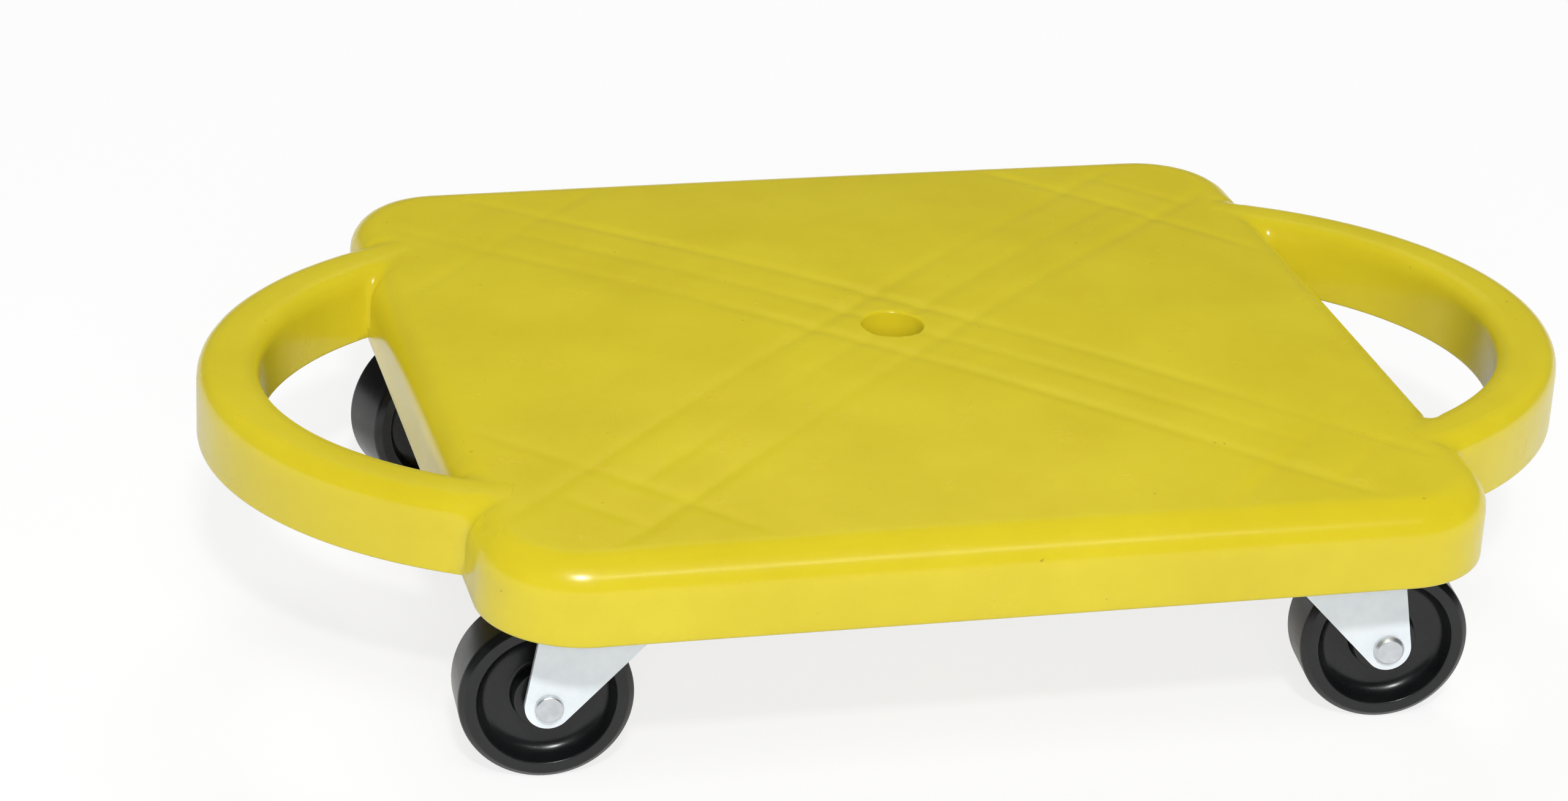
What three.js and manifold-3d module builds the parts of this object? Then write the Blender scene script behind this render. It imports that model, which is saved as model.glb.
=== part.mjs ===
// A low four-wheeled scooter board: one moulded plastic deck with a loop handle at each side,
// ribbed underneath, on four two-inch swivel casters. Millimetres, +Z up, floor at z = 0,
// origin on the floor under the middle of the deck, X across the handles.
import * as THREE from 'three';
import { mergeVertices } from 'three/addons/utils/BufferGeometryUtils.js';
import Module from 'manifold-3d';

// Deck moulding
const deckWidth = 300;
const deckDepth = 280;
const deckEdgeHeight = 83.5;
const deckThickness = 25.3;
const deckCrown = 5.5;
const deckCornerRadius = 30;
const deckTopFillet = 10.2;
const deckRimFillet = 1.2;
const skirtWall = 3;
const centreHoleRadius = 10;
const centreHoleTubeWall = 3.2;

// Ribs under the deck: one band of three along each diagonal, two cross ribs at each corner
const ribThickness = 2.4;
const bandRibPitch = 17.2;

// Loop handles: an arc of an ellipse, joined to the skirt at both ends
const handleReach = 212.8;
const handleArcDepth = 122.8;
const handleArcHalfWidth = 108.4;
const handleWidth = 18.7;
const handleTopDrop = 0.3;
const handleHeight = 23.2;
const handleTopFillet = 5.6;
const handleBottomFillet = 1.2;
const handleWall = 3;
const handleWebThickness = 2.4;
const handleWebAngleShares = [-0.48, 0, 0.48];

// Casters
const swivelSideInset = 42;
const swivelEndInset = 41.2;
const casterHeight = 65;
const casterTrail = 19;
const wheelRadius = 25.4;
const wheelWidth = 20;
const wheelEdgeRadius = 2;
const wheelRimWidth = 5.2;
const wheelDishDepth = 6;
const wheelDishTaper = 1.4;
const wheelHubRadius = 9.5;
const wheelHubRecess = 1;
const wheelSideClearance = 1.8;
const wheelTopClearance = 2.2;

const plateLength = 34;
const plateBreadth = 48;
const plateCornerRadius = 5;
const plateThickness = 2;
const plateScrewPitchAlong = 19.2;
const plateScrewPitchAcross = 34.4;
const plateDimpleDrop = 2;

const sheetThickness = 2.1;
const forkBendRadius = 4.2;
const forkCrownRadius = 17;
const forkEyeRadius = 6.9;
const forkRearLean = 4.7;

const ballRadius = 2.2;
const ballCircleRadius = 10.5;
const ballCount = 8;
const raceInnerRadius = 7.2;
const raceOuterRadius = 13.8;
const raceHalfGap = 0.7;
const raceClearance = 0.6;
const cageHalfThickness = 0.35;
const cageHalfWidth = 0.9;

const kingPinRadius = 3.5;
const kingPinHeadRadius = 5.9;
const kingPinTopHead = 1.2;
const kingPinLowerHead = 2.2;

const axleRadius = 2.9;
const axleHeadRadius = 4.6;
const axleHeadHeight = 1.7;
const axleHeadBevel = 0.6;
const axleTailRadius = 4.1;
const axleTailBevel = 0.4;
const bushingRadius = 4.6;

const screwRadius = 2.2;
const screwLength = 11.5;
const screwTip = 2.5;
const screwHeadRadius = 3.9;
const screwHeadHeight = 2.5;
const screwHeadTopRadius = 2.6;
const screwBossWall = 2;

// Clearances and cuts
const seatGap = 0.3;
const overrun = 2;

// Facets
const cornerSteps = 4;
const sideSteps = 3;
const filletSteps = 3;
const topRingShares = [0.7, 0.35];
const ceilingRingShares = [0.5];
const handleSteps = 14;
const handleFilletSteps = 2;
const channelFilletSteps = 1;
const wheelSteps = 24;
const wheelEdgeSteps = 1;
const roundSteps = 12;
const smallRoundSteps = 10;
const arcSteps = 5;
const bendSteps = 2;
const fineRoundSteps = 8;
const ballSteps = 3;

// Derived levels and places
const deckBottom = deckEdgeHeight - deckThickness;
const ribBottom = casterHeight + seatGap;
const handleTop = deckEdgeHeight - handleTopDrop;
const handleBottom = handleTop - handleHeight;
const swivelX = deckWidth / 2 - swivelSideInset;
const swivelY = deckDepth / 2 - swivelEndInset;
const axleHeight = wheelRadius;
const plateBottom = casterHeight - plateThickness;
const forkCrownBottom = 2 * wheelRadius + wheelTopClearance;
const forkCrownTop = forkCrownBottom + sheetThickness;
const forkInnerHalf = wheelWidth / 2 + wheelSideClearance;
const forkOuterHalf = forkInnerHalf + sheetThickness;
const ballHeight = (forkCrownTop + plateBottom) / 2;
const kingPinHoleRadius = kingPinRadius + seatGap;
const diagonalAngle = Math.atan2(deckDepth, deckWidth);
const swivelDistance = swivelX * Math.cos(diagonalAngle) + swivelY * Math.sin(diagonalAngle);
const innerCrossRibDistance = swivelDistance - plateScrewPitchAlong / 2;
const outerCrossRibDistance = swivelDistance + plateScrewPitchAlong / 2;
const casters = [
  { name: 'front_left', sideX: -1, sideY: -1, heading: 176.5 },
  { name: 'front_right', sideX: 1, sideY: -1, heading: -6.7 },
  { name: 'rear_left', sideX: -1, sideY: 1, heading: 199 },
  { name: 'rear_right', sideX: 1, sideY: 1, heading: 12 },
];

const wasm = await Module();
wasm.setup();

// Solid for joins and cuts, from any closed geometry
function solidOf(geometry) {
  const bare = geometry.clone();
  bare.deleteAttribute('normal');
  bare.deleteAttribute('uv');
  const merged = mergeVertices(bare);
  const mesh = new wasm.Mesh({
    numProp: 3,
    vertProperties: new Float32Array(merged.attributes.position.array),
    triVerts: new Uint32Array(merged.index.array),
  });
  mesh.merge();
  return new wasm.Manifold(mesh);
}

// Geometry of a joined and cut solid
function geometryOf(solid) {
  const mesh = solid.getMesh();
  const geometry = new THREE.BufferGeometry();
  const positions = new Float32Array(mesh.vertProperties);
  geometry.setAttribute('position', new THREE.BufferAttribute(positions, 3));
  geometry.setIndex(new THREE.BufferAttribute(new Uint32Array(mesh.triVerts), 1));
  const flat = geometry.toNonIndexed();
  flat.computeVertexNormals();
  return flat;
}

// Closed body through rings of equal point count, capped at both ends
function loft(rings) {
  const count = rings[0].length;
  const positions = rings.flat().flatMap((point) => [point.x, point.y, point.z]);
  const index = [];
  for (let level = 0; level < rings.length - 1; level += 1) {
    for (let step = 0; step < count; step += 1) {
      const here = level * count + step;
      const next = level * count + ((step + 1) % count);
      index.push(here, next, next + count, here, next + count, here + count);
    }
  }
  [rings[0], rings.at(-1)].forEach((ring, end) => {
    const middle = ring.reduce((sum, point) => sum.add(point), new THREE.Vector3()).divideScalar(count);
    const centre = positions.length / 3;
    positions.push(middle.x, middle.y, middle.z);
    const first = end * (rings.length - 1) * count;
    for (let step = 0; step < count; step += 1) {
      const here = first + step;
      const next = first + ((step + 1) % count);
      index.push(centre, end ? here : next, end ? next : here);
    }
  });
  const geometry = new THREE.BufferGeometry();
  geometry.setAttribute('position', new THREE.Float32BufferAttribute(positions, 3));
  geometry.setIndex(index);
  return geometry;
}

// Cylinder standing on +Z between two levels
function post(radius, low, high, steps = smallRoundSteps) {
  const geometry = new THREE.CylinderGeometry(radius, radius, high - low, steps);
  geometry.rotateX(Math.PI / 2);
  geometry.translate(0, 0, (low + high) / 2);
  return geometry;
}

// Solid of revolution about +Z, from radius and height pairs
function turned(profile, steps = roundSteps) {
  const points = profile.map(([radius, height]) => new THREE.Vector2(radius, height));
  const geometry = new THREE.LatheGeometry(points, steps);
  geometry.rotateX(Math.PI / 2);
  return geometry;
}

// Solid of revolution about the wheel's axle, which lies along Y
function turnedOnAxle(profile, steps = roundSteps) {
  const points = profile.map(([radius, along]) => new THREE.Vector2(radius, along));
  return new THREE.LatheGeometry(points, steps);
}

// Deck outline at one inset from its side walls: corner arcs joined by stepped straight sides
function deckOutline(inset) {
  const radius = deckCornerRadius - inset;
  const cornerX = deckWidth / 2 - deckCornerRadius;
  const cornerY = deckDepth / 2 - deckCornerRadius;
  const corners = [[1, 1], [-1, 1], [-1, -1], [1, -1]];
  const onCorner = (corner, angle) => {
    const [sideX, sideY] = corners[corner % corners.length];
    return new THREE.Vector2(sideX * cornerX + radius * Math.cos(angle),
      sideY * cornerY + radius * Math.sin(angle));
  };
  const outline = [];
  corners.forEach((_, corner) => {
    for (let step = 0; step < cornerSteps; step += 1) {
      outline.push(onCorner(corner, (corner + step / cornerSteps) * Math.PI / 2));
    }
    const sideAngle = (corner + 1) * Math.PI / 2;
    const start = onCorner(corner, sideAngle);
    const end = onCorner(corner + 1, sideAngle);
    for (let step = 0; step < sideSteps; step += 1) {
      outline.push(start.clone().lerp(end, step / sideSteps));
    }
  });
  return outline;
}

// Height that the crowned top gains over its edge at one place
function crownAt(x, y) {
  const acrossShare = x / (deckWidth / 2);
  const alongShare = y / (deckDepth / 2);
  return deckCrown * (1 - acrossShare ** 2) * (1 - alongShare ** 2);
}

// Deck block from a bottom level up to the crowned, filleted top, held in by one inset all round
function deckBlock(inset, bottom, ringShares, rimFillet = 0) {
  const fillet = deckTopFillet - inset;
  const top = deckEdgeHeight - inset;
  const level = (outline, height) => outline.map((point) => new THREE.Vector3(point.x, point.y, height));
  const rings = [level(deckOutline(inset + rimFillet), bottom)];
  if (rimFillet) {
    rings.push(level(deckOutline(inset), bottom + rimFillet));
  }
  const crowned = (point, height) => new THREE.Vector3(point.x, point.y, height + crownAt(point.x, point.y));
  for (let step = 0; step <= filletSteps; step += 1) {
    const angle = (step / filletSteps) * Math.PI / 2;
    const outline = deckOutline(inset + fillet * (1 - Math.cos(angle)));
    rings.push(outline.map((point) => crowned(point, top - fillet * (1 - Math.sin(angle)))));
  }
  const topOutline = deckOutline(deckTopFillet);
  for (const share of ringShares) {
    rings.push(topOutline.map((point) => crowned(point.clone().multiplyScalar(share), top)));
  }
  return solidOf(loft(rings));
}

// Upright rib: its middle lies at a distance along a direction, and it runs square to that direction
function rib(angle, distance, length, thickness = ribThickness) {
  const height = deckEdgeHeight + deckCrown - ribBottom;
  const geometry = new THREE.BoxGeometry(thickness, length, height);
  geometry.translate(distance, 0, ribBottom + height / 2);
  geometry.rotateZ(angle);
  return solidOf(geometry);
}

// Diagonal bands of three ribs, the cross ribs at each corner and the tube round the centre hole
function deckRibs() {
  const deckDiagonal = Math.hypot(deckWidth, deckDepth);
  const ribs = [];
  for (const side of [1, -1]) {
    const alongBand = side * diagonalAngle;
    const squareToBand = alongBand + Math.PI / 2;
    for (const place of [-1, 1]) {
      ribs.push(rib(squareToBand, place * bandRibPitch, deckDiagonal));
    }
    ribs.push(rib(squareToBand, 0, 2 * innerCrossRibDistance));
    for (const end of [0, Math.PI]) {
      const outward = alongBand + end;
      ribs.push(rib(outward, innerCrossRibDistance, deckDiagonal / 2));
      ribs.push(rib(outward, outerCrossRibDistance, 2 * bandRibPitch));
    }
  }
  const tubeTop = deckEdgeHeight + deckCrown;
  ribs.push(solidOf(post(centreHoleRadius + centreHoleTubeWall, ribBottom, tubeTop, wheelSteps)));
  return ribs.reduce((sum, piece) => sum.add(piece));
}

// Places of the four screws round a swivel, as x, y offsets turned with the plate
function screwOffsets(plateAngle) {
  return [[1, 1], [-1, 1], [-1, -1], [1, -1]].map(([sideX, sideY]) => (
    new THREE.Vector2(sideX * plateScrewPitchAlong / 2, sideY * plateScrewPitchAcross / 2)
      .rotateAround(new THREE.Vector2(), plateAngle)
  ));
}

// Turn of a caster's plate: along the deck diagonal that runs through its corner
function plateAngleOf(caster) {
  return caster.sideX * caster.sideY * diagonalAngle;
}

// Screw places of all casters in the deck's frame
function deckScrewPlaces() {
  return casters.flatMap((caster) => screwOffsets(plateAngleOf(caster)).map((offset) => (
    new THREE.Vector2(caster.sideX * swivelX + offset.x, caster.sideY * swivelY + offset.y)
  )));
}

// Cross-section of a handle: its outer wall at zero, its inner wall at minus its width, clockwise
function handleSection() {
  const inner = -handleWidth;
  const bottom = handleBottom;
  const bottomFillet = handleBottomFillet;
  const topFillet = handleTopFillet;
  const arcHeight = handleTop - topFillet;
  const shape = new THREE.Shape();
  shape.moveTo(inner + bottomFillet, bottom);
  shape.lineTo(inner, bottom + bottomFillet);
  shape.absarc(inner + topFillet, arcHeight, topFillet, Math.PI, Math.PI / 2, true);
  shape.absarc(-topFillet, arcHeight, topFillet, Math.PI / 2, 0, true);
  shape.lineTo(0, bottom + bottomFillet);
  shape.lineTo(-bottomFillet, bottom);
  return shape.getPoints(handleFilletSteps);
}

// Cross-section of the channel that hollows a handle from below, one wall inside its outside
function channelSection() {
  const inner = handleWall - handleWidth;
  const bottom = handleBottom - overrun;
  const topFillet = handleTopFillet - handleWall;
  const arcHeight = handleTop - handleTopFillet;
  const shape = new THREE.Shape();
  shape.moveTo(inner, bottom);
  shape.absarc(inner + topFillet, arcHeight, topFillet, Math.PI, Math.PI / 2, true);
  shape.absarc(-handleTopFillet, arcHeight, topFillet, Math.PI / 2, 0, true);
  shape.lineTo(-handleWall, bottom);
  return shape.getPoints(channelFilletSteps);
}

// Point of a handle's plan at one angle of its ellipse, moved out along the outward direction
function handlePoint(angle, outward, height) {
  const centreX = handleReach - handleArcDepth;
  const normal = new THREE.Vector2(Math.cos(angle) / handleArcDepth, Math.sin(angle) / handleArcHalfWidth);
  normal.normalize().multiplyScalar(outward);
  return new THREE.Vector3(centreX + handleArcDepth * Math.cos(angle) + normal.x,
    handleArcHalfWidth * Math.sin(angle) + normal.y, height);
}

// Angle of the ellipse at which the handle's outer wall reaches one x
function handleAngleAt(x) {
  return Math.acos((x - (handleReach - handleArcDepth)) / handleArcDepth);
}

// Section swept along the handle's arc, ending inside the deck's skirt
function handleSweep(section) {
  const endAngle = handleAngleAt(deckWidth / 2 - deckTopFillet);
  const rings = [];
  for (let step = 0; step <= handleSteps; step += 1) {
    const angle = endAngle * (2 * step / handleSteps - 1);
    rings.push(section.map((point) => handlePoint(angle, point.x, point.y)));
  }
  return solidOf(loft(rings));
}

// Webs that stiffen the hollow underside of a handle
function handleWebs() {
  const webs = handleWebAngleShares.map((share) => {
    const angle = share * Math.PI / 2;
    const middle = handlePoint(angle, -handleWidth / 2, (handleTop + handleBottom) / 2);
    const outer = handlePoint(angle, 0, middle.z);
    const geometry = new THREE.BoxGeometry(2 * handleWidth, handleWebThickness, handleHeight);
    geometry.rotateZ(Math.atan2(outer.y - middle.y, outer.x - middle.x));
    geometry.translate(middle.x, middle.y, middle.z + handleWall);
    return solidOf(geometry);
  });
  return webs.reduce((sum, piece) => sum.add(piece));
}

// Whole deck moulding: crowned tray, loop handles with channel undersides, ribs and screw bosses
function deckSolid() {
  const block = deckBlock(0, deckBottom, topRingShares, deckRimFillet);
  const handle = handleSweep(handleSection());
  const channel = handleSweep(channelSection()).subtract(block).subtract(handleWebs());
  const loop = handle.subtract(channel);
  const cavity = deckBlock(skirtWall, deckBottom - overrun, ceilingRingShares);
  const within = deckBlock(skirtWall / 2, deckBottom, ceilingRingShares);
  const places = deckScrewPlaces();
  const bossRadius = screwRadius + seatGap + screwBossWall;
  const bossTop = deckEdgeHeight + deckCrown;
  const bosses = places.map((place) => (
    solidOf(post(bossRadius, ribBottom, bossTop, fineRoundSteps)).translate(place.x, place.y, 0)
  ));
  const inner = bosses.reduce((sum, piece) => sum.add(piece), deckRibs()).intersect(within);
  const holeTop = plateBottom + screwLength + seatGap;
  const holes = places.map((place) => (
    solidOf(post(screwRadius + seatGap, ribBottom - overrun, holeTop, fineRoundSteps))
      .translate(place.x, place.y, 0)
  ));
  const centreHole = solidOf(post(centreHoleRadius, deckBottom, bossTop + overrun, wheelSteps));
  const cuts = holes.reduce((sum, piece) => sum.add(piece), centreHole);
  const body = block.add(loop).add(loop.rotate(0, 0, 180)).subtract(cavity);
  return body.add(inner).subtract(cuts);
}

// Groove of a ball race, as profile points from the inner lip to the outer lip
function raceGroove(side) {
  const radius = ballRadius + raceClearance;
  const lipAngle = Math.asin(raceHalfGap / radius);
  const points = [];
  for (let step = 0; step <= filletSteps; step += 1) {
    const angle = Math.PI - lipAngle - (step / filletSteps) * (Math.PI - 2 * lipAngle);
    points.push([ballCircleRadius + radius * Math.cos(angle), ballHeight + side * radius * Math.sin(angle)]);
  }
  return points;
}

// Rounded plate with a dimple for the king pin's head, and the upper ball race under it
function plateSolid() {
  const cornerX = plateLength / 2 - plateCornerRadius;
  const cornerY = plateBreadth / 2 - plateCornerRadius;
  const outline = new THREE.Shape();
  outline.absarc(cornerX, cornerY, plateCornerRadius, 0, Math.PI / 2);
  outline.absarc(-cornerX, cornerY, plateCornerRadius, Math.PI / 2, Math.PI);
  outline.absarc(-cornerX, -cornerY, plateCornerRadius, Math.PI, 3 * Math.PI / 2);
  outline.absarc(cornerX, -cornerY, plateCornerRadius, 3 * Math.PI / 2, 2 * Math.PI);
  const slab = new THREE.ExtrudeGeometry(outline, {
    depth: plateThickness, bevelEnabled: false, curveSegments: bendSteps,
  });
  slab.translate(0, 0, plateBottom);
  const middle = casterHeight - plateThickness / 2;
  const dimpleBottom = plateBottom - plateDimpleDrop;
  const race = turned([
    [kingPinHoleRadius, middle],
    [kingPinHoleRadius, dimpleBottom],
    [raceInnerRadius, dimpleBottom],
    [raceInnerRadius, ballHeight + raceHalfGap],
    ...raceGroove(1),
    [raceOuterRadius, ballHeight + raceHalfGap],
    [raceOuterRadius, middle],
    [kingPinHoleRadius, middle],
  ]);
  const headSeat = casterHeight - kingPinTopHead - 2 * seatGap;
  const sink = post(kingPinHeadRadius + seatGap, headSeat, casterHeight + overrun);
  const pinHole = post(kingPinHoleRadius, dimpleBottom - overrun, casterHeight + overrun);
  let solid = solidOf(slab).add(solidOf(race)).subtract(solidOf(sink)).subtract(solidOf(pinHole));
  for (const offset of screwOffsets(0)) {
    const hole = post(screwRadius + seatGap, plateBottom - overrun, casterHeight + overrun, fineRoundSteps);
    solid = solid.subtract(solidOf(hole).translate(offset.x, offset.y, 0));
  }
  return solid;
}

// Balls of the swivel race held in one flat cage ring, whose corners lie midway between the balls
function ballCageSolid() {
  const inner = ballCircleRadius - cageHalfWidth;
  const outer = ballCircleRadius + cageHalfWidth;
  const ring = turned([
    [inner, ballHeight - cageHalfThickness],
    [outer, ballHeight - cageHalfThickness],
    [outer, ballHeight + cageHalfThickness],
    [inner, ballHeight + cageHalfThickness],
    [inner, ballHeight - cageHalfThickness],
  ], ballCount);
  ring.rotateZ(Math.PI / ballCount);
  let solid = solidOf(ring);
  for (let ball = 0; ball < ballCount; ball += 1) {
    const sphere = new THREE.SphereGeometry(ballRadius, ballSteps + 1, ballSteps);
    sphere.rotateX(Math.PI / 2);
    sphere.translate(0, ballCircleRadius, ballHeight);
    sphere.rotateZ((ball / ballCount) * 2 * Math.PI);
    solid = solid.add(solidOf(sphere));
  }
  return solid;
}

// King pin: a rivet through plate and fork, headed in the plate's dimple and under the fork's crown
function kingPinGeometry() {
  const topHead = casterHeight - seatGap;
  const topHeadSeat = topHead - kingPinTopHead;
  const lowerHead = forkCrownBottom - seatGap;
  const lowerEnd = lowerHead - kingPinLowerHead;
  return turned([
    [0, lowerEnd],
    [kingPinHeadRadius - kingPinLowerHead / 2, lowerEnd],
    [kingPinHeadRadius, lowerEnd + kingPinLowerHead / 2],
    [kingPinHeadRadius, lowerHead],
    [kingPinRadius, lowerHead],
    [kingPinRadius, topHeadSeat],
    [kingPinHeadRadius, topHeadSeat],
    [kingPinHeadRadius, topHead],
    [0, topHead],
  ], fineRoundSteps);
}

// Side view of the fork: crown, sloping leading edge, round axle eye and leaning rear edge
function forkSideShape() {
  const rearAtEye = casterTrail + forkEyeRadius;
  const rearAtCrown = rearAtEye - forkRearLean;
  const frontAtCrown = -forkCrownRadius;
  const slopeX = frontAtCrown - casterTrail;
  const slopeZ = forkCrownBottom - axleHeight;
  const slopeAngle = Math.atan2(slopeZ, slopeX);
  const tangentAngle = slopeAngle + Math.acos(forkEyeRadius / Math.hypot(slopeX, slopeZ));
  const leanAngle = Math.atan2(forkRearLean, slopeZ);
  const shape = new THREE.Shape();
  shape.moveTo(frontAtCrown - overrun, forkCrownTop + overrun);
  shape.lineTo(frontAtCrown - overrun, forkCrownBottom);
  shape.lineTo(frontAtCrown, forkCrownBottom);
  shape.absarc(casterTrail, axleHeight, forkEyeRadius, tangentAngle, 2 * Math.PI + leanAngle);
  shape.lineTo(rearAtCrown, forkCrownBottom);
  shape.lineTo(rearAtCrown, forkCrownTop + overrun);
  return shape;
}

// Front view of the fork: a channel with rounded bends, open downwards
function forkFrontShape() {
  const foot = axleHeight - forkEyeRadius - overrun;
  const innerBend = forkBendRadius - sheetThickness;
  const outerStraight = forkOuterHalf - forkBendRadius;
  const shape = new THREE.Shape();
  shape.moveTo(forkOuterHalf, foot);
  shape.absarc(outerStraight, forkCrownTop - forkBendRadius, forkBendRadius, 0, Math.PI / 2);
  shape.absarc(-outerStraight, forkCrownTop - forkBendRadius, forkBendRadius, Math.PI / 2, Math.PI);
  shape.lineTo(-forkOuterHalf, foot);
  shape.lineTo(-forkInnerHalf, foot);
  shape.absarc(-outerStraight, forkCrownTop - forkBendRadius, innerBend, Math.PI, Math.PI / 2, true);
  shape.absarc(outerStraight, forkCrownTop - forkBendRadius, innerBend, Math.PI / 2, 0, true);
  shape.lineTo(forkInnerHalf, foot);
  return shape;
}

// Top view of the fork: round in front of the swivel, straight-sided behind it
function forkTopShape() {
  const rear = casterTrail + forkEyeRadius + overrun;
  const shape = new THREE.Shape();
  shape.moveTo(rear, -forkCrownRadius);
  shape.lineTo(rear, forkCrownRadius);
  shape.absarc(0, 0, forkCrownRadius, Math.PI / 2, 3 * Math.PI / 2);
  return shape;
}

// Pressed-sheet fork: the overlap of its three views, with the lower ball race on its crown
function forkSolid() {
  const settings = (depth, steps = arcSteps) => (
    { depth, bevelEnabled: false, curveSegments: steps }
  );
  const width = 2 * (forkOuterHalf + overrun);
  const side = new THREE.ExtrudeGeometry(forkSideShape(), settings(width));
  side.translate(0, 0, -width / 2);
  side.rotateX(Math.PI / 2);
  const length = 2 * (casterTrail + forkEyeRadius + overrun);
  const front = new THREE.ExtrudeGeometry(forkFrontShape(), settings(length, bendSteps));
  front.translate(0, 0, -length / 2);
  front.rotateX(Math.PI / 2);
  front.rotateZ(Math.PI / 2);
  const top = new THREE.ExtrudeGeometry(forkTopShape(), settings(casterHeight));
  const middle = forkCrownTop - sheetThickness / 2;
  const race = turned([
    [raceInnerRadius, middle],
    [raceOuterRadius, middle],
    [raceOuterRadius, ballHeight - raceHalfGap],
    ...raceGroove(-1).reverse(),
    [raceInnerRadius, ballHeight - raceHalfGap],
    [raceInnerRadius, middle],
  ]);
  const pinHole = post(kingPinHoleRadius, axleHeight, casterHeight);
  const axleHole = post(axleRadius + seatGap, -width, width);
  axleHole.rotateX(Math.PI / 2);
  axleHole.translate(casterTrail, 0, axleHeight);
  return solidOf(side).intersect(solidOf(front)).intersect(solidOf(top)).add(solidOf(race))
    .subtract(solidOf(pinHole)).subtract(solidOf(axleHole));
}

// Axle rivet along Y: a bevelled flat head against one leg of the fork, a smaller one on the other
function axleRivetGeometry() {
  const seat = forkOuterHalf + seatGap;
  const end = seat + axleHeadHeight;
  return turnedOnAxle([
    [0, -end],
    [axleHeadRadius - axleHeadBevel, -end],
    [axleHeadRadius, axleHeadBevel - end],
    [axleHeadRadius, -seat],
    [axleRadius, -seat],
    [axleRadius, seat],
    [axleTailRadius, seat],
    [axleTailRadius, end - axleTailBevel],
    [axleTailRadius - axleTailBevel, end],
    [0, end],
  ], smallRoundSteps);
}

// Spacer bushing that the wheel turns on, between the legs of the fork
function bushingGeometry() {
  const half = forkInnerHalf - seatGap;
  const bore = axleRadius + seatGap;
  return turnedOnAxle([
    [bore, -half], [bushingRadius, -half], [bushingRadius, half], [bore, half], [bore, -half],
  ], fineRoundSteps);
}

// Moulded wheel: rounded tread edge, flat rim face, tapered dish and a hub, alike on both sides
function wheelGeometry() {
  const half = wheelWidth / 2;
  const rimInner = wheelRadius - wheelRimWidth;
  const dish = half - wheelDishDepth;
  const hub = half - wheelHubRecess;
  const bore = bushingRadius + seatGap;
  const onePlusSide = [
    [bore, hub],
    [wheelHubRadius, hub],
    [wheelHubRadius, dish],
    [rimInner - wheelDishTaper, dish],
    [rimInner, half],
  ];
  for (let step = 0; step <= wheelEdgeSteps; step += 1) {
    const angle = (1 - step / wheelEdgeSteps) * Math.PI / 2;
    onePlusSide.push([wheelRadius - wheelEdgeRadius * (1 - Math.cos(angle)),
      half - wheelEdgeRadius * (1 - Math.sin(angle))]);
  }
  const minusSide = onePlusSide.map(([radius, along]) => [radius, -along]);
  const profile = [...minusSide, ...onePlusSide.reverse(), minusSide[0]];
  return turnedOnAxle(profile, wheelSteps);
}

// Pan-head screw up through the plate into a boss of the deck
function screwGeometry() {
  const seat = plateBottom - seatGap;
  const tip = plateBottom + screwLength;
  return turned([
    [0, seat - screwHeadHeight],
    [screwHeadTopRadius, seat - screwHeadHeight],
    [screwHeadRadius, seat],
    [screwRadius, seat],
    [screwRadius, tip - screwTip],
    [0, tip],
  ], fineRoundSteps);
}

const yellowPlastic = new THREE.MeshStandardMaterial({ color: 0xe4d541, roughness: 0.38, metalness: 0 });
const blackPlastic = new THREE.MeshStandardMaterial({ color: 0x18181a, roughness: 0.5, metalness: 0 });
const zincSteel = new THREE.MeshStandardMaterial({ color: 0xc9ccd0, roughness: 0.32, metalness: 1 });
const brightSteel = new THREE.MeshStandardMaterial({ color: 0xb4b6ba, roughness: 0.25, metalness: 1 });

// One named mesh
function named(name, geometry, material) {
  const mesh = new THREE.Mesh(geometry, material);
  mesh.name = name;
  return mesh;
}

const plateShape = geometryOf(plateSolid());
const forkShape = geometryOf(forkSolid());
const ballCageShape = geometryOf(ballCageSolid());

// One caster: fixed pieces turned with the plate, swivelling pieces turned to their heading
function caster({ name, sideX, sideY, heading }) {
  const fixed = new THREE.Group();
  const plateAngle = plateAngleOf({ sideX, sideY });
  fixed.rotation.z = plateAngle;
  fixed.add(named(`${name}_top_plate`, plateShape, zincSteel));
  fixed.add(named(`${name}_king_pin`, kingPinGeometry(), brightSteel));
  fixed.add(named(`${name}_ball_cage`, ballCageShape, brightSteel));
  screwOffsets(0).forEach((offset, place) => {
    const screw = named(`${name}_screw_${place + 1}`, screwGeometry(), brightSteel);
    screw.position.set(offset.x, offset.y, 0);
    fixed.add(screw);
  });
  const swivelling = new THREE.Group();
  swivelling.rotation.z = THREE.MathUtils.degToRad(heading);
  swivelling.add(named(`${name}_fork`, forkShape, zincSteel));
  const onAxle = [
    named(`${name}_axle_rivet`, axleRivetGeometry(), brightSteel),
    named(`${name}_axle_bushing`, bushingGeometry(), brightSteel),
    named(`${name}_wheel`, wheelGeometry(), blackPlastic),
  ];
  for (const piece of onAxle) {
    piece.position.set(casterTrail, 0, axleHeight);
    swivelling.add(piece);
  }
  const group = new THREE.Group();
  group.position.set(sideX * swivelX, sideY * swivelY, 0);
  group.add(fixed, swivelling);
  return group;
}

const group = new THREE.Group();
group.add(named('deck', geometryOf(deckSolid()), yellowPlastic));
for (const place of casters) {
  group.add(caster(place));
}

export default group;
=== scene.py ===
import bpy
import bmesh
import math
import numpy as np
from mathutils import Matrix, Vector, kdtree


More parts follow.
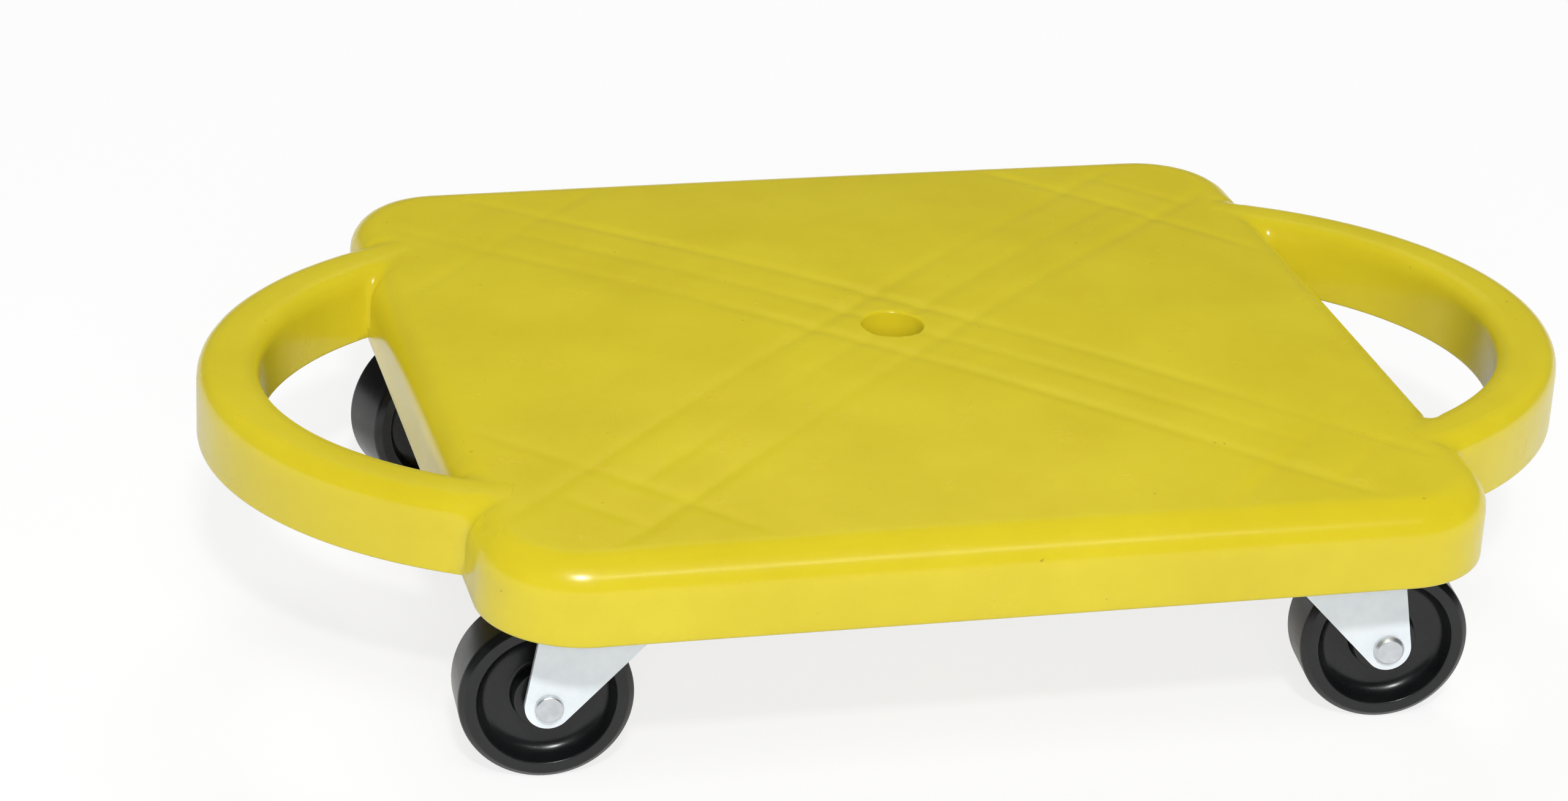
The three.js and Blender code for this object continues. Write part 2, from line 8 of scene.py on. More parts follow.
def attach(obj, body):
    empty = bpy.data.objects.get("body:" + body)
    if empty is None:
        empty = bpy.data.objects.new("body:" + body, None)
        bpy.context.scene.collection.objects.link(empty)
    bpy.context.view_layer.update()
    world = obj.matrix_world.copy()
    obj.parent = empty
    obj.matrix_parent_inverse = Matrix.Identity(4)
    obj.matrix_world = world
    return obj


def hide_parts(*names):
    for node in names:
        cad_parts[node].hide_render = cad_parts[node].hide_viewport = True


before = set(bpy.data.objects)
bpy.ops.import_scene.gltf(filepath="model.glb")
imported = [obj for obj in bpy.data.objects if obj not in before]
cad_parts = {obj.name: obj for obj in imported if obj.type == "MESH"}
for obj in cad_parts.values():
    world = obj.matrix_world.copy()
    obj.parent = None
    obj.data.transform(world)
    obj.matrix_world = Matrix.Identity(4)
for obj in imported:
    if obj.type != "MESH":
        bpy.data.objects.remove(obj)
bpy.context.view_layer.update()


# Deck moulding: one injection-moulded shell of satin lemon yellow plastic, crowned on top,
# with a large fillet round the top edge. It is modelled as a fine grid that is pulled to the
# rounded outline and extruded down over the fillet and the skirt; crown and sink marks come last.
DECK_WIDTH, DECK_DEPTH = 0.300, 0.280
DECK_EDGE_TOP, DECK_BOTTOM = 0.0835, 0.0582
DECK_CORNER = 0.030
DECK_FILLET = 0.0102
DECK_RIM = 0.0013
DECK_WALL = 0.003
DECK_CROWN, DECK_CROWN_MOST = 0.0055, 0.00494


def deselect_all():
    if bpy.context.object and bpy.context.object.mode == "EDIT":
        bpy.ops.object.mode_set(mode="OBJECT")
    bpy.ops.object.select_all(action="DESELECT")


def activate(piece):
    deselect_all()
    piece.select_set(True)
    bpy.context.view_layer.objects.active = piece


def coordinates(obj):
    points = np.zeros(len(obj.data.vertices) * 3)
    obj.data.vertices.foreach_get("co", points)
    return points.reshape(-1, 3)


def set_coordinates(obj, points):
    obj.data.vertices.foreach_set("co", points.astype(np.float32).ravel())
    obj.data.update()


def outward(point, corner_x, corner_y):
    if abs(point[0]) > corner_x - 1e-6 and abs(point[1]) > corner_y - 1e-6:
        away = Vector((point[0] - math.copysign(corner_x, point[0]),
                       point[1] - math.copysign(corner_y, point[1])))
        return away.normalized()
    if abs(point[0]) / corner_x > abs(point[1]) / corner_y:
        return Vector((math.copysign(1, point[0]), 0))
    return Vector((0, math.copysign(1, point[1])))


def tray_block(name, inset, bottom, columns, rows, fillet_steps, skirt_steps, rim=0):
    fillet = DECK_FILLET - inset
    top = DECK_EDGE_TOP - inset
    flat_x, flat_y = DECK_WIDTH / 2 - DECK_FILLET, DECK_DEPTH / 2 - DECK_FILLET
    corner_x, corner_y = DECK_WIDTH / 2 - DECK_CORNER, DECK_DEPTH / 2 - DECK_CORNER
    radius = flat_x - corner_x
    deselect_all()
    bpy.ops.mesh.primitive_grid_add(x_subdivisions=columns, y_subdivisions=rows, size=2,
                                    location=(0, 0, 0))
    block = bpy.context.object
    block.name = name
    points = coordinates(block) * (flat_x, flat_y, 1)
    points[:, 2] = top
    for point in points:
        u = (abs(point[0]) - corner_x) / radius
        v = (abs(point[1]) - corner_y) / radius
        if u > 0 and v > 0:
            turn = math.pi / 4 * (v / u if u >= v else 2 - u / v)
            reach = radius * max(u, v)
            point[0] = math.copysign(corner_x + reach * math.cos(turn), point[0])
            point[1] = math.copysign(corner_y + reach * math.sin(turn), point[1])
    set_coordinates(block, points)
    bpy.ops.object.mode_set(mode="EDIT")
    bpy.ops.mesh.select_all(action="SELECT")
    bpy.ops.mesh.region_to_loop()
    rings = [(fillet * math.sin(a), -fillet * (1 - math.cos(a)))
             for a in (math.pi / 2 * (step + 1) / fillet_steps for step in range(fillet_steps))]
    tall = top - fillet - bottom - rim
    rings += [(fillet, -fillet - tall * (step + 1) / skirt_steps) for step in range(skirt_steps)]
    if rim:
        rings += [(fillet - rim * (1 - math.cos(a)), bottom - top + rim * (1 - math.sin(a)))
                  for a in (math.pi / 8, math.pi / 4, 3 * math.pi / 8, math.pi / 2)]
    before = (0, 0)
    for out, down in rings:
        bpy.ops.mesh.extrude_edges_move()
        mesh = bmesh.from_edit_mesh(block.data)
        for vertex in mesh.verts:
            if vertex.select:
                way = outward(vertex.co, corner_x, corner_y) * (out - before[0])
                vertex.co += Vector((way.x, way.y, down - before[1]))
        bmesh.update_edit_mesh(block.data)
        before = (out, down)
    bpy.ops.mesh.edge_face_add()
    bpy.ops.mesh.select_all(action="SELECT")
    bpy.ops.mesh.normals_make_consistent(inside=False)
    bpy.ops.object.mode_set(mode="OBJECT")
    return block


def joined(target, tool, operation):
    activate(target)
    cut = target.modifiers.new("cut", "BOOLEAN")
    cut.object, cut.operation, cut.solver = tool, operation, "EXACT"
    bpy.ops.object.modifier_apply(modifier=cut.name)
    bpy.data.objects.remove(tool)


deck = tray_block("deck_moulding", inset=0, bottom=DECK_BOTTOM, columns=186, rows=172,
                  fillet_steps=7, skirt_steps=6, rim=DECK_RIM)

# Loop handles: a rounded bar with a hollow underside, swept along an arc from skirt to skirt.
# One section is spun round half a turn and then drawn onto the oval plan of the real loop, and
# the soft inside corner where the bar runs into the skirt is relaxed after the two are joined.
HANDLE_REACH = 0.2128
HANDLE_ARC_DEPTH, HANDLE_ARC_HALF = 0.1228, 0.1084
HANDLE_WIDTH = 0.0187
HANDLE_TOP, HANDLE_BOTTOM = 0.0832, 0.0600
HANDLE_DOME, HANDLE_DOME_ROUND = 0.0006, 0.05
HANDLE_TOP_ROUND, HANDLE_BOTTOM_ROUND = 0.0084, 0.0012
HANDLE_ROOT_X = 0.139
CREASE_FROM, CREASE_TO, CREASE_TURN = 0.139, 0.153, -0.3
CREASE_REACH, CREASE_FOOT = 0.0038, 0.0025


def rounded(corners, segments=4, most=0.49):
    points = []
    for number, (across, up, radius) in enumerate(corners):
        here = Vector((across, up))
        if not radius:
            points.append(here)
            continue
        before = Vector(corners[number - 1][:2]) - here
        after = Vector(corners[(number + 1) % len(corners)][:2]) - here
        reach = min(radius / math.tan(before.angle(after) / 2), most * before.length,
                    most * after.length)
        start, end = here + before.normalized() * reach, here + after.normalized() * reach
        for step in range(segments + 1):
            share = step / segments
            points.append(start.lerp(here, share).lerp(here.lerp(end, share), share))
    return points


def arc_angle(x):
    return math.acos((x - HANDLE_REACH + HANDLE_ARC_DEPTH) / HANDLE_ARC_DEPTH)


def swept_bar(name, section, start, end, steps):
    deselect_all()
    bpy.ops.mesh.primitive_circle_add(vertices=len(section), radius=1, fill_type="NGON")
    bar = bpy.context.object
    bar.name = name
    for vertex, point in zip(bar.data.vertices, section):
        vertex.co = (1 + point.x, 0, point.y)
    bpy.ops.object.mode_set(mode="EDIT")
    bpy.ops.mesh.select_all(action="SELECT")
    bpy.ops.mesh.spin(steps=steps, angle=-1.0, center=(0, 0, 0), axis=(0, 0, 1))
    bpy.ops.object.mode_set(mode="OBJECT")
    points = coordinates(bar)
    turn = np.arctan2(points[:, 1], points[:, 0])
    turn = (turn - turn.min()) / (turn.max() - turn.min())
    angle = start + turn * (end - start)
    out = np.hypot(points[:, 0], points[:, 1]) - 1
    normal = np.stack([np.cos(angle) / HANDLE_ARC_DEPTH, np.sin(angle) / HANDLE_ARC_HALF])
    normal /= np.hypot(*normal)
    points[:, 0] = (HANDLE_REACH - HANDLE_ARC_DEPTH + HANDLE_ARC_DEPTH * np.cos(angle)
                    + normal[0] * out)
    points[:, 1] = HANDLE_ARC_HALF * np.sin(angle) + normal[1] * out
    set_coordinates(bar, points)
    bpy.ops.object.mode_set(mode="EDIT")
    bpy.ops.mesh.select_all(action="SELECT")
    bpy.ops.mesh.remove_doubles(threshold=0.00001)
    bpy.ops.mesh.normals_make_consistent(inside=False)
    bpy.ops.object.mode_set(mode="OBJECT")
    return bar


def turned_round(piece):
    activate(piece)
    bpy.ops.object.duplicate()
    other = bpy.context.object
    other.data.transform(Matrix.Rotation(math.pi, 4, "Z"))
    return other


root_angle = arc_angle(HANDLE_ROOT_X)
handle_section = rounded([
    (0, HANDLE_BOTTOM, HANDLE_BOTTOM_ROUND), (0, HANDLE_TOP, HANDLE_TOP_ROUND),
    (-HANDLE_WIDTH / 2, HANDLE_TOP + HANDLE_DOME, HANDLE_DOME_ROUND),
    (-HANDLE_WIDTH, HANDLE_TOP, HANDLE_TOP_ROUND),
    (-HANDLE_WIDTH, HANDLE_BOTTOM, HANDLE_BOTTOM_ROUND)], segments=6, most=0.64)
handle = swept_bar("handle", handle_section, -root_angle, root_angle, steps=96)
other_handle = turned_round(handle)
joined(deck, handle, "UNION")
joined(deck, other_handle, "UNION")

activate(deck)
bpy.ops.object.mode_set(mode="EDIT")
mesh = bmesh.from_edit_mesh(deck.data)
crease = [vertex.co.copy() for edge in mesh.edges
          if edge.is_manifold and CREASE_FROM < abs(edge.verts[0].co.x) < CREASE_TO
          and edge.calc_face_angle_signed() < CREASE_TURN for vertex in edge.verts]
tree = kdtree.KDTree(len(crease))
for number, point in enumerate(crease):
    tree.insert(point, number)
tree.balance()
for vertex in mesh.verts:
    near = tree.find(vertex.co)[2]
    vertex.select = near < CREASE_REACH and DECK_BOTTOM + CREASE_FOOT < vertex.co.z
mesh.select_flush_mode()
bmesh.update_edit_mesh(deck.data)
bpy.ops.mesh.vertices_smooth(factor=0.5, repeat=18)
bpy.ops.object.mode_set(mode="OBJECT")

# Hollow underside: the open tray, and under each handle a channel in four lengths with a thin
# web between each two. Both cutters leave walls of 3 mm all round and reach below the moulding.
HANDLE_WALL = 0.003
TRAY_OVERCUT, CHANNEL_OVERCUT = 0.004, 0.003
CHANNEL_ROOT_X, CHANNEL_ROUND = 0.1515, 0.003
WEB_TURN, WEB_HALF, WEB_ARC_RADIUS = 0.48 * math.pi / 2, 0.0012, 0.105
cavity = tray_block("cavity", inset=DECK_WALL, bottom=DECK_BOTTOM - TRAY_OVERCUT, columns=30,
                    rows=28, fillet_steps=4, skirt_steps=2)
joined(deck, cavity, "DIFFERENCE")
channel_section = rounded([
    (-HANDLE_WALL, HANDLE_BOTTOM - CHANNEL_OVERCUT, 0),
    (-HANDLE_WALL, HANDLE_TOP - HANDLE_WALL, CHANNEL_ROUND),
    (HANDLE_WALL - HANDLE_WIDTH, HANDLE_TOP - HANDLE_WALL, CHANNEL_ROUND),
    (HANDLE_WALL - HANDLE_WIDTH, HANDLE_BOTTOM - CHANNEL_OVERCUT, 0)])
channel_root = arc_angle(CHANNEL_ROOT_X)
web_turns = [-WEB_TURN, 0, WEB_TURN]
starts = [-channel_root] + [turn + WEB_HALF / WEB_ARC_RADIUS for turn in web_turns]
ends = [turn - WEB_HALF / WEB_ARC_RADIUS for turn in web_turns] + [channel_root]
for start, end in zip(starts, ends):
    channel = swept_bar("channel", channel_section, start, end, steps=20)
    other_channel = turned_round(channel)
    joined(deck, channel, "DIFFERENCE")
    joined(deck, other_channel, "DIFFERENCE")

# Ribs under the deck: three upright ribs along each diagonal, two cross ribs and four screw
# bosses at each caster, and a tube round the centre hole, all moulded with the deck. They are
# thin boxes and posts, joined, cut to the outline and then joined to the underside.
RIB, RIB_BOTTOM, RIB_TOP = 0.0024, 0.0653, 0.0815
BAND_PITCH, BAND_RIB_LENGTH, CROSS_RIB_LENGTH = 0.0172, 0.42, 0.2
SWIVEL_X, SWIVEL_Y = 0.108, 0.0988
SCREW_ALONG, SCREW_ACROSS, BOSS = 0.0192, 0.0344, 0.0045
HOLE, HOLE_TUBE = 0.0095, 0.0132
diagonal = math.atan2(DECK_DEPTH, DECK_WIDTH)
swivel_reach = SWIVEL_X * math.cos(diagonal) + SWIVEL_Y * math.sin(diagonal)
inner_cross, outer_cross = swivel_reach - SCREW_ALONG / 2, swivel_reach + SCREW_ALONG / 2


def rib(distance, turn, length):
    deselect_all()
    bpy.ops.mesh.primitive_cube_add(size=1)
    piece = bpy.context.object
    piece.data.transform(Matrix.Diagonal((RIB, length, RIB_TOP - RIB_BOTTOM, 1)))
    piece.data.transform(Matrix.Translation((distance, 0, (RIB_TOP + RIB_BOTTOM) / 2)))
    piece.data.transform(Matrix.Rotation(turn, 4, "Z"))
    return piece


def upright(radius, low, high, x, y, sides=16):
    deselect_all()
    bpy.ops.mesh.primitive_cylinder_add(radius=radius, depth=high - low, vertices=sides)
    piece = bpy.context.object
    piece.data.transform(Matrix.Translation((x, y, (low + high) / 2)))
    return piece


ribs = []
for side in (1, -1):
    along = side * diagonal
    for offset in (-BAND_PITCH, BAND_PITCH):
        ribs.append(rib(offset, along + math.pi / 2, BAND_RIB_LENGTH))
    ribs.append(rib(0, along + math.pi / 2, 2 * inner_cross))
    for end in (0, math.pi):
        ribs.append(rib(inner_cross, along + end, CROSS_RIB_LENGTH))
        ribs.append(rib(outer_cross, along + end, 2 * BAND_PITCH))
corners = [(1, 1), (-1, 1), (-1, -1), (1, -1)]
for side_x, side_y in corners:
    turn = Matrix.Rotation(side_x * side_y * diagonal, 2)
    for step_x, step_y in corners:
        spot = turn @ Vector((step_x * SCREW_ALONG / 2, step_y * SCREW_ACROSS / 2))
        ribs.append(upright(BOSS, RIB_BOTTOM, RIB_TOP, side_x * SWIVEL_X + spot.x,
                            side_y * SWIVEL_Y + spot.y))
ribs.append(upright(HOLE_TUBE, RIB_BOTTOM, RIB_TOP, 0, 0, sides=48))
rib_set = ribs.pop()
while ribs:
    joined(rib_set, ribs.pop(), "UNION")
within = tray_block("within", inset=DECK_WALL / 2, bottom=DECK_BOTTOM, columns=10, rows=10,
                    fillet_steps=4, skirt_steps=1)
joined(rib_set, within, "INTERSECT")
joined(deck, rib_set, "UNION")

# Centre hole: a plain round hole through the tube, its rim rounded over into the top. The cutter
# is a profile spun about the hole, and it is made before the top gets its crown.
HOLE_RIM_LEVEL, HOLE_RIM, HOLE_RIM_ROUND = 0.08352, 0.0118, 0.0016


def turned(name, corners, steps, along_y=False, segments=4, most=0.49):
    points = rounded(corners, segments, most)
    deselect_all()
    bpy.ops.mesh.primitive_circle_add(vertices=len(points), radius=1)
    piece = bpy.context.object
    piece.name = name
    for vertex, point in zip(piece.data.vertices, points):
        vertex.co = (point.x, point.y, 0) if along_y else (point.x, 0, point.y)
    bpy.ops.object.mode_set(mode="EDIT")
    bpy.ops.mesh.select_all(action="SELECT")
    axis = (0, 1, 0) if along_y else (0, 0, 1)
    bpy.ops.mesh.spin(steps=steps, angle=2 * math.pi, center=(0, 0, 0), axis=axis)
    bpy.ops.mesh.select_all(action="SELECT")
    bpy.ops.mesh.remove_doubles(threshold=0.000005)
    bpy.ops.mesh.delete_loose(use_faces=False)
    bpy.ops.mesh.select_all(action="SELECT")
    bpy.ops.mesh.normals_make_consistent(inside=False)
    bpy.ops.object.mode_set(mode="OBJECT")
    return piece


hole_cutter = turned("hole_cutter", [
    (0, 0.05, 0), (HOLE, 0.05, 0), (HOLE, HOLE_RIM_LEVEL, HOLE_RIM_ROUND), (HOLE_RIM, 0.08354, 0),
    (HOLE_RIM, 0.095, 0), (0, 0.095, 0)], steps=64)
joined(deck, hole_cutter, "DIFFERENCE")

# Crown and sink marks: the top rises to the middle and levels off round the hole, and it has
# sunk a little over every rib, unevenly, where the thicker plastic shrank.
LEVELLING = 0.0004
SINK_FADE, SINK_HALF, SINK_BAND_HALF = 0.0015, 0.0023, 0.0024
SINK_MIDDLE, SINK_BAND, SINK_INNER_CROSS, SINK_OUTER_CROSS = 0.00038, 0.00052, 0.00042, 0.00036
SINK_END_X, SINK_END_Y, SINK_END_FADE = 0.132, 0.122, 0.010
TOP_SKIN = 0.0006
points = coordinates(deck)
x, y, z = points.T
share_x, share_y = x / (DECK_WIDTH / 2), y / (DECK_DEPTH / 2)
on_deck = np.clip((1 - share_x ** 2) * (1 - share_y ** 2), 0, None) * (abs(share_x) < 1)
short_by = np.exp((DECK_CROWN_MOST - DECK_CROWN * on_deck) / LEVELLING)
crown = DECK_CROWN_MOST - LEVELLING * np.log(1 + short_by)
crown = np.clip(crown, 0, None) * (on_deck > 0)
rising = np.clip((z - RIB_BOTTOM) / (DECK_EDGE_TOP - DECK_WALL - RIB_BOTTOM), 0, 1)
sink = np.zeros(len(points))


def sink_over(distance, part, depth, half_width):
    return depth * np.exp(-(distance / half_width) ** 2) * part


def smoothed(piece, angle):
    activate(piece)
    bpy.ops.object.shade_smooth_by_angle(angle=math.radians(angle))


for side in (1, -1):
    across = -x * math.sin(side * diagonal) + y * math.cos(side * diagonal)
    reach = abs(x * math.cos(side * diagonal) + y * math.sin(side * diagonal))
    inner_part = 1 / (1 + np.exp((reach - inner_cross) / SINK_FADE))
    band_part = 1 / (1 + np.exp((abs(across) - BAND_PITCH) / SINK_FADE))
    sink += sink_over(across, inner_part, SINK_MIDDLE, SINK_HALF)
    for offset in (-BAND_PITCH, BAND_PITCH):
        sink += sink_over(across - offset, 1, SINK_BAND, SINK_BAND_HALF)
    sink += sink_over(reach - inner_cross, 1, SINK_INNER_CROSS, SINK_HALF)
    sink += sink_over(reach - outer_cross, band_part, SINK_OUTER_CROSS, SINK_HALF)
uneven = 0.62 + 0.20 * np.sin(41 * x + 23 * y + 1.3) + 0.16 * np.sin(67 * y - 31 * x + 0.4)
past_end = np.maximum(abs(x) - SINK_END_X, abs(y) - SINK_END_Y)
edge_room = np.clip(1 - past_end / SINK_END_FADE, 0, 1)
on_top = (z > DECK_EDGE_TOP - TOP_SKIN) & (abs(x) < DECK_WIDTH / 2 - DECK_FILLET)
points[:, 2] += crown * rising - sink * uneven * edge_room * on_top
set_coordinates(deck, points)
smoothed(deck, 38)


# Lemon yellow plastic: satin gloss with a faint cloudy mottle, a very fine moulded grain and a
# few tiny dark specks. All of it is read from Object coordinates.
def principled(name):
    material = bpy.data.materials.new(name)
    material.use_nodes = True
    shader = material.node_tree.nodes["Principled BSDF"]
    return material, shader


def linear(red, green, blue):
    return tuple((c / 12.92 if c <= 0.04045 else ((c + 0.055) / 1.055) ** 2.4)
                 for c in (red / 255, green / 255, blue / 255)) + (1,)


def grey(value):
    return value, value, value, 1


def noise(tree, scale, detail=3, roughness=0.5):
    place = tree.nodes.new("ShaderNodeTexCoord")
    texture = tree.nodes.new("ShaderNodeTexNoise")
    texture.inputs["Scale"].default_value = scale
    texture.inputs["Detail"].default_value = detail
    texture.inputs["Roughness"].default_value = roughness
    tree.links.new(place.outputs["Object"], texture.inputs["Vector"])
    return texture.outputs["Fac"]


def ramp(tree, source, *stops):
    node = tree.nodes.new("ShaderNodeValToRGB")
    bands = node.color_ramp.elements
    while len(bands) < len(stops):
        bands.new(0.5)
    for band, (position, colour) in zip(bands, stops):
        band.position = position
        band.color = colour
    tree.links.new(source, node.inputs["Fac"])
    return node.outputs["Color"]


def bumped(tree, shader, *layers):
    previous = None
    for source, strength, distance in layers:
        node = tree.nodes.new("ShaderNodeBump")
        node.inputs["Strength"].default_value = strength
        node.inputs["Distance"].default_value = distance
        tree.links.new(source, node.inputs["Height"])
        if previous:
            tree.links.new(previous, node.inputs["Normal"])
        previous = node.outputs["Normal"]
    tree.links.new(previous, shader.inputs["Normal"])


def mixed(tree, kind, first, second, amount):
    node = tree.nodes.new("ShaderNodeMix")
    node.data_type = "RGBA"
    node.blend_type = kind
    tree.links.new(first, node.inputs[6])
    tree.links.new(second, node.inputs[7])
    if isinstance(amount, float):
        node.inputs[0].default_value = amount
    else:
        tree.links.new(amount, node.inputs[0])
    return node.outputs[2]


yellow, shader = principled("satin_yellow_plastic")
tree = yellow.node_tree
cloud = ramp(tree, noise(tree, 22, 4, 0.6),
             (0.3, linear(201, 184, 33)), (0.7, linear(209, 193, 40)))
speck = ramp(tree, noise(tree, 520, 0, 0), (0.100, grey(0)), (0.116, grey(1)))
speck_colour = tree.nodes.new("ShaderNodeRGB")
speck_colour.outputs[0].default_value = linear(172, 154, 42)
tree.links.new(mixed(tree, "MIX", speck_colour.outputs[0], cloud, speck),
               shader.inputs["Base Color"])
shine = ramp(tree, noise(tree, 60, 3, 0.6), (0.3, grey(0.21)), (0.7, grey(0.28)))
tree.links.new(shine, shader.inputs["Roughness"])
shader.inputs["IOR"].default_value = 1.49
shader.inputs["Diffuse Roughness"].default_value = 0.5
shader.inputs["Subsurface Weight"].default_value = 0.2
shader.inputs["Subsurface Radius"].default_value = (0.9, 0.7, 0.15)
shader.inputs["Subsurface Scale"].default_value = 0.003
bumped(tree, shader, (noise(tree, 1500, 2), 0.05, 0.00012), (noise(tree, 75, 3), 0.10, 0.00035))
deck.data.materials.clear()
deck.data.materials.append(yellow)
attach(deck, "board")
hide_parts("deck")

# Swivel casters, one at each corner, each at the heading at which it stands in the picture.
# Every piece is modelled once about its own swivel and copied to the corners with its own mesh.
CASTERS = {"front_left": (-1, -1, 176.5), "front_right": (1, -1, -6.7),
           "rear_left": (-1, 1, 199), "rear_right": (1, 1, 12)}
WHEEL, TRAIL = 0.0254, 0.019


def at_corners(model, piece, material, body, swivelling, spots=None):
    model.data.materials.clear()
    model.data.materials.append(material)
    for corner, (side_x, side_y, heading) in CASTERS.items():
        turn = math.radians(heading) if swivelling else side_x * side_y * diagonal
        for number, spot in enumerate(spots or [(0, 0)]):
            mesh = model.data.copy()
            mesh.transform(Matrix.Translation((spot[0], spot[1], 0)))
            mesh.transform(Matrix.Rotation(turn, 4, "Z"))
            mesh.transform(Matrix.Translation((side_x * SWIVEL_X, side_y * SWIVEL_Y, 0)))
            ending = f"_{number + 1}" if spots else ""
            placed = bpy.data.objects.new(f"{corner}_{piece}_form{ending}", mesh)
            bpy.context.scene.collection.objects.link(placed)
            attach(placed, "board" if body == "board" else f"{corner}_{body}")
            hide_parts(f"{corner}_{piece}{ending}")
    bpy.data.objects.remove(model)


# Wheel: one moulding of hard black plastic with a flat rim, a deep dish on each side and a
# raised hub. The half profile is mirrored in the list and spun about the axle.
HALF_WHEEL = 0.010
half_profile = [(0.0049, 0.0090, 0.0003), (0.0095, 0.0090, 0.0006), (0.0097, 0.0040, 0.0012),
                (0.0187, 0.0040, 0.0052), (0.0203, HALF_WHEEL, 0.0006),
                (0.0235, HALF_WHEEL, 0.0010), (WHEEL, 0.0083, 0.0018)]
wheel_profile = half_profile + [(across, -along, radius)
                                for across, along, radius in reversed(half_profile)]
wheel = turned("wheel", wheel_profile, steps=96, along_y=True, segments=6, most=0.68)
wheel.data.transform(Matrix.Translation((TRAIL, 0, WHEEL)))
smoothed(wheel, 50)
black, shader = principled("moulded_black_plastic")
tree = black.node_tree
dull = ramp(tree, noise(tree, 60, 3), (0.3, linear(15, 16, 17)), (0.7, linear(22, 23, 24)))
tree.links.new(dull, shader.inputs["Base Color"])
scuff = ramp(tree, noise(tree, 120, 4, 0.6), (0.35, grey(0.25)), (0.75, grey(0.33)))
tree.links.new(scuff, shader.inputs["Roughness"])
bumped(tree, shader, (noise(tree, 900, 2), 0.03, 0.0001))
at_corners(wheel, "wheel", black, "wheel_body", True)

# Fork: a strip of zinc-plated steel pressed into a channel over the wheel. Three views are
# extruded and overlapped: the channel from the front, the tapering legs from the side and the
# round crown from above; the sheet's edges are then broken all round.
SHEET, FORK_HALF, FORK_BEND = 0.0021, 0.0139, 0.0042
CROWN_TOP, CROWN_BOTTOM, CROWN_REACH = 0.0551, 0.0530, 0.017
EYE, LEG_END, LEG_LEAN = 0.0069, 0.016, 0.0047
VIEW_REACH, VIEW_TOP, CUT_TOP = 0.03, 0.060, 0.07
PIN_HOLE, PLATE_LOW = 0.0038, 0.063
BALL_LEVEL = (CROWN_TOP + PLATE_LOW) / 2
RACE_INSIDE, RACE_OUTSIDE, RACE_ROOT = 0.0072, 0.0138, 0.0005
RACE = [(RACE_OUTSIDE, 0.0007, 0.0004), (0.0131, 0.0007, 0), (0.0124, 0.0022, 0),
        (0.0105, 0.0028, 0.001), (0.0086, 0.0022, 0), (0.0079, 0.0007, 0),
        (RACE_INSIDE, 0.0007, 0)]


def extruded(name, outline, direction, low, high):
    deselect_all()
    bpy.ops.mesh.primitive_circle_add(vertices=len(outline), radius=1, fill_type="NGON")
    piece = bpy.context.object
    piece.name = name
    across, up = {"X": (1, 2), "Y": (0, 2), "Z": (0, 1)}[direction]
    along = "XYZ".index(direction)
    for vertex, point in zip(piece.data.vertices, outline):
        place = [0, 0, 0]
        place[across], place[up], place[along] = point[0], point[1], low
        vertex.co = place
    way = [0, 0, 0]
    way[along] = high - low
    bpy.ops.object.mode_set(mode="EDIT")
    bpy.ops.mesh.select_all(action="SELECT")
    bpy.ops.mesh.extrude_region_move(TRANSFORM_OT_translate={"value": way})
    bpy.ops.mesh.select_all(action="SELECT")
    bpy.ops.mesh.normals_make_consistent(inside=False)
    bpy.ops.object.mode_set(mode="OBJECT")
    return piece


def broken_edges(piece, width, segments=2, angle=35):
    activate(piece)
    edge = piece.modifiers.new("edge", "BEVEL")
    edge.width, edge.segments, edge.limit_method = width, segments, "ANGLE"
    edge.angle_limit = math.radians(angle)
    bpy.ops.object.modifier_apply(modifier=edge.name)


front_view = rounded([
    (FORK_HALF, LEG_END, 0), (FORK_HALF, CROWN_TOP, FORK_BEND),
    (-FORK_HALF, CROWN_TOP, FORK_BEND), (-FORK_HALF, LEG_END, 0),
    (SHEET - FORK_HALF, LEG_END, 0), (SHEET - FORK_HALF, CROWN_BOTTOM, FORK_BEND - SHEET),
    (FORK_HALF - SHEET, CROWN_BOTTOM, FORK_BEND - SHEET), (FORK_HALF - SHEET, LEG_END, 0)],
    segments=8)
fork = extruded("fork", front_view, "X", -VIEW_REACH, VIEW_REACH)
slope = Vector((-CROWN_REACH - TRAIL, CROWN_BOTTOM - WHEEL))
lead = math.atan2(slope.y, slope.x) + math.acos(EYE / slope.length)
lean = math.atan2(LEG_LEAN, CROWN_BOTTOM - WHEEL)
eye = [(TRAIL + EYE * math.cos(turn), WHEEL + EYE * math.sin(turn))
       for turn in (lead + (2 * math.pi + lean - lead) * step / 28 for step in range(29))]
side_view = [(-0.020, VIEW_TOP), (-0.020, CROWN_BOTTOM), (-CROWN_REACH, CROWN_BOTTOM)] + eye + [
    (TRAIL + EYE - LEG_LEAN, CROWN_BOTTOM), (TRAIL + EYE - LEG_LEAN, VIEW_TOP)]
joined(fork, extruded("side_view", side_view, "Y", -0.02, 0.02), "INTERSECT")
top_view = [(VIEW_REACH, -CROWN_REACH), (VIEW_REACH, CROWN_REACH)] + [
    (CROWN_REACH * math.cos(turn), CROWN_REACH * math.sin(turn))
    for turn in (math.pi / 2 + math.pi * step / 28 for step in range(29))]
joined(fork, extruded("top_view", top_view, "Z", 0, CUT_TOP), "INTERSECT")
joined(fork, upright(PIN_HOLE, 0.04, CUT_TOP, 0, 0, sides=32), "DIFFERENCE")
broken_edges(fork, 0.0005)
lower_profile = [(RACE_INSIDE, CROWN_TOP - RACE_ROOT, 0), (RACE_OUTSIDE, CROWN_TOP - RACE_ROOT, 0)]
lower_profile += [(across, BALL_LEVEL - away, radius) for across, away, radius in RACE]
lower_race = turned("lower_race", lower_profile, steps=48)
joined(fork, lower_race, "UNION")
smoothed(fork, 40)
zinc, shader = principled("zinc_plated_steel")
tree = zinc.node_tree
